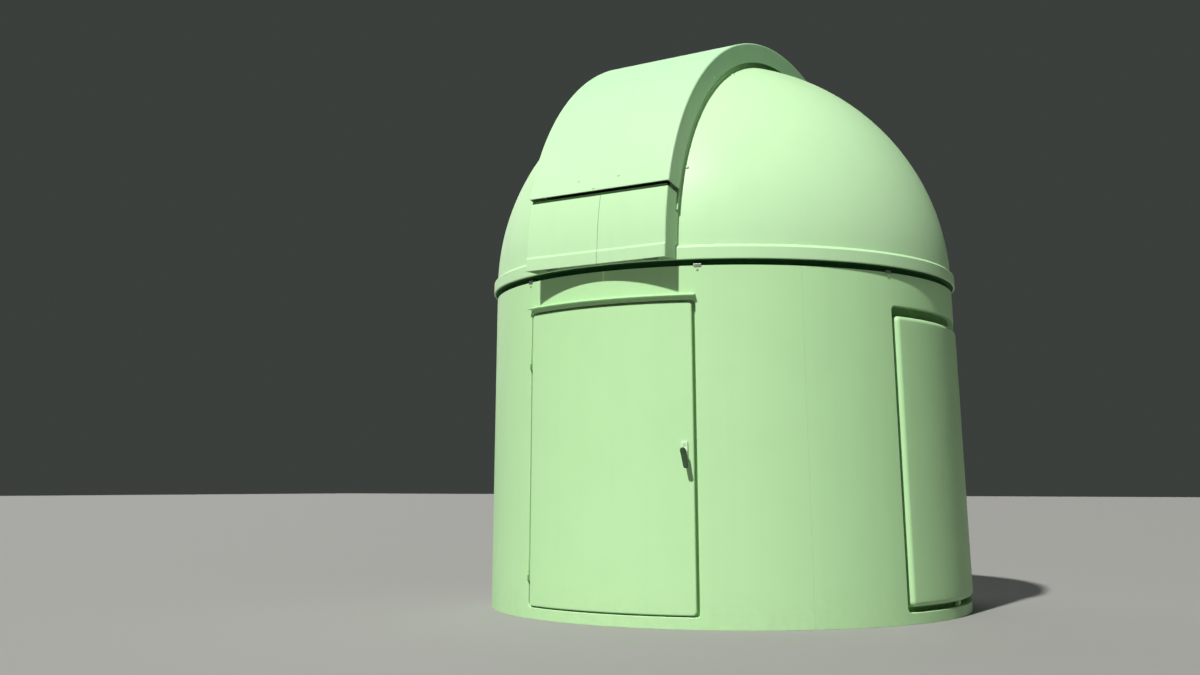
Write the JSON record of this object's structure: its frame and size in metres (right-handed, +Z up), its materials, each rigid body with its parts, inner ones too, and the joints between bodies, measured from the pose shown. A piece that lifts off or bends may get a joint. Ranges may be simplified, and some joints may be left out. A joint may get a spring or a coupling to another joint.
{
  "type": "observatory dome",
  "caption": "Walk-in astronomical observatory with a round moulded wall, a curved door and blank bays, and a rotating dome with a sliding shutter and a lower flap.",
  "frame": {"origin": "on the wall's vertical axis, at the level of the wall's foot", "axes": "+Z up; -Y out through the door and, at rest, through the dome's slot; +X to the right of a person who faces the door"},
  "size_m": [2.234, 2.275, 2.652],
  "materials": {
    "gelcoat": "satin gelcoat over glass-fibre laminate",
    "shutter_gelcoat": "satin gelcoat over glass-fibre laminate",
    "steel": "brushed",
    "dark": "matte"
  },
  "bodies": {
    "walls": {"front_wall_left": "gelcoat", "front_wall_right": "gelcoat", "front_wall_head": "gelcoat", "front_wall_sill": "gelcoat", "right_wall": "gelcoat", "rear_wall": "gelcoat", "left_wall": "gelcoat", "right_blank_panel": "gelcoat", "rear_blank_panel": "gelcoat", "left_blank_panel": "gelcoat", "bearing_ring": "dark", "door_drip_strip": "gelcoat", "door_hinge_upper_jamb": "steel", "door_hinge_lower_jamb": "steel"},
    "dome": {"dome_base_ring": "gelcoat", "dome_shell_right": "gelcoat", "dome_shell_left": "gelcoat", "dome_shell_rear": "gelcoat", "dome_front_sill": "gelcoat", "slot_rail_right": "gelcoat", "slot_rail_left": "gelcoat", "flap_hinge_right": "steel", "flap_hinge_left": "steel"},
    "shutter": {"main_shutter_cover": "shutter_gelcoat", "main_shutter_side_right": "shutter_gelcoat", "main_shutter_side_left": "shutter_gelcoat"},
    "flap": {"lower_flap_face": "shutter_gelcoat", "lower_flap_side_right": "shutter_gelcoat", "lower_flap_side_left": "shutter_gelcoat"},
    "door": {"door_leaf": "gelcoat", "door_hinge_upper_leaf": "steel", "door_hinge_lower_leaf": "steel", "door_lock_plate": "steel"},
    "handle": {"door_handle": "dark"}
  },
  "joints": [
    {"name": "dome_rotation", "type": "hinge", "parent": "walls", "child": "dome", "pos_m": [0, 0, 1.4286], "axis": [0, 0, 1], "continuous": true},
    {"name": "main_shutter_lift", "type": "hinge", "parent": "dome", "child": "shutter", "pos_m": [0, 0, 1.489], "axis": [-1, 0, 0], "range_deg": [0, 75]},
    {"name": "lower_flap_drop", "type": "hinge", "parent": "dome", "child": "flap", "pos_m": [0, -1.13, 1.453], "axis": [1, 0, 0], "range_deg": [0, 100]},
    {"name": "door_swing", "type": "hinge", "parent": "walls", "child": "door", "pos_m": [-0.4091, -1.02541, 0.662], "axis": [0, 0, -1], "range_deg": [0, 120]},
    {"name": "door_handle_turn", "type": "hinge", "parent": "door", "child": "handle", "pos_m": [0.37396, -1.07691, 0.672], "axis": [-0.328, 0.9447, 0], "range_deg": [0, 90]}
  ]
}
